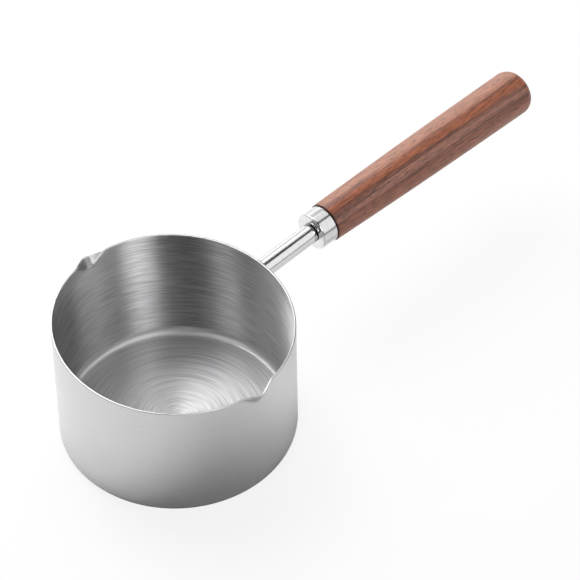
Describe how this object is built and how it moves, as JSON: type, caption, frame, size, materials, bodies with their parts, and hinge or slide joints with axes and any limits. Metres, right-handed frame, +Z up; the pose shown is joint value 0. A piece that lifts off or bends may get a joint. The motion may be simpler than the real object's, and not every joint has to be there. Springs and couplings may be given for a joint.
{
  "type": "pouring pan",
  "caption": "Small straight-sided stainless steel pan with pouring lips pressed into the rim and a turned wooden grip on a welded rod stem.",
  "frame": {"origin": "middle of the pot's flat base, on the surface that it stands on", "axes": "+Z up the pot's axis, +X from the pot's axis towards the grip, lips on the +Y and -Y sides"},
  "size_m": [0.2298, 0.0966, 0.0597],
  "materials": {
    "satin_stainless": "satin outside, circular brushing inside",
    "weld_metal": "cleaned weld",
    "polished_stainless": "polished",
    "insert_brass": "machined",
    "rosewood": "oiled, satin"
  },
  "bodies": {
    "root": {"pot": "satin_stainless", "weld_bead": "weld_metal", "stem": "polished_stainless", "ferrule": "polished_stainless", "threaded_insert": "insert_brass", "grip": "rosewood"}
  },
  "joints": []
}
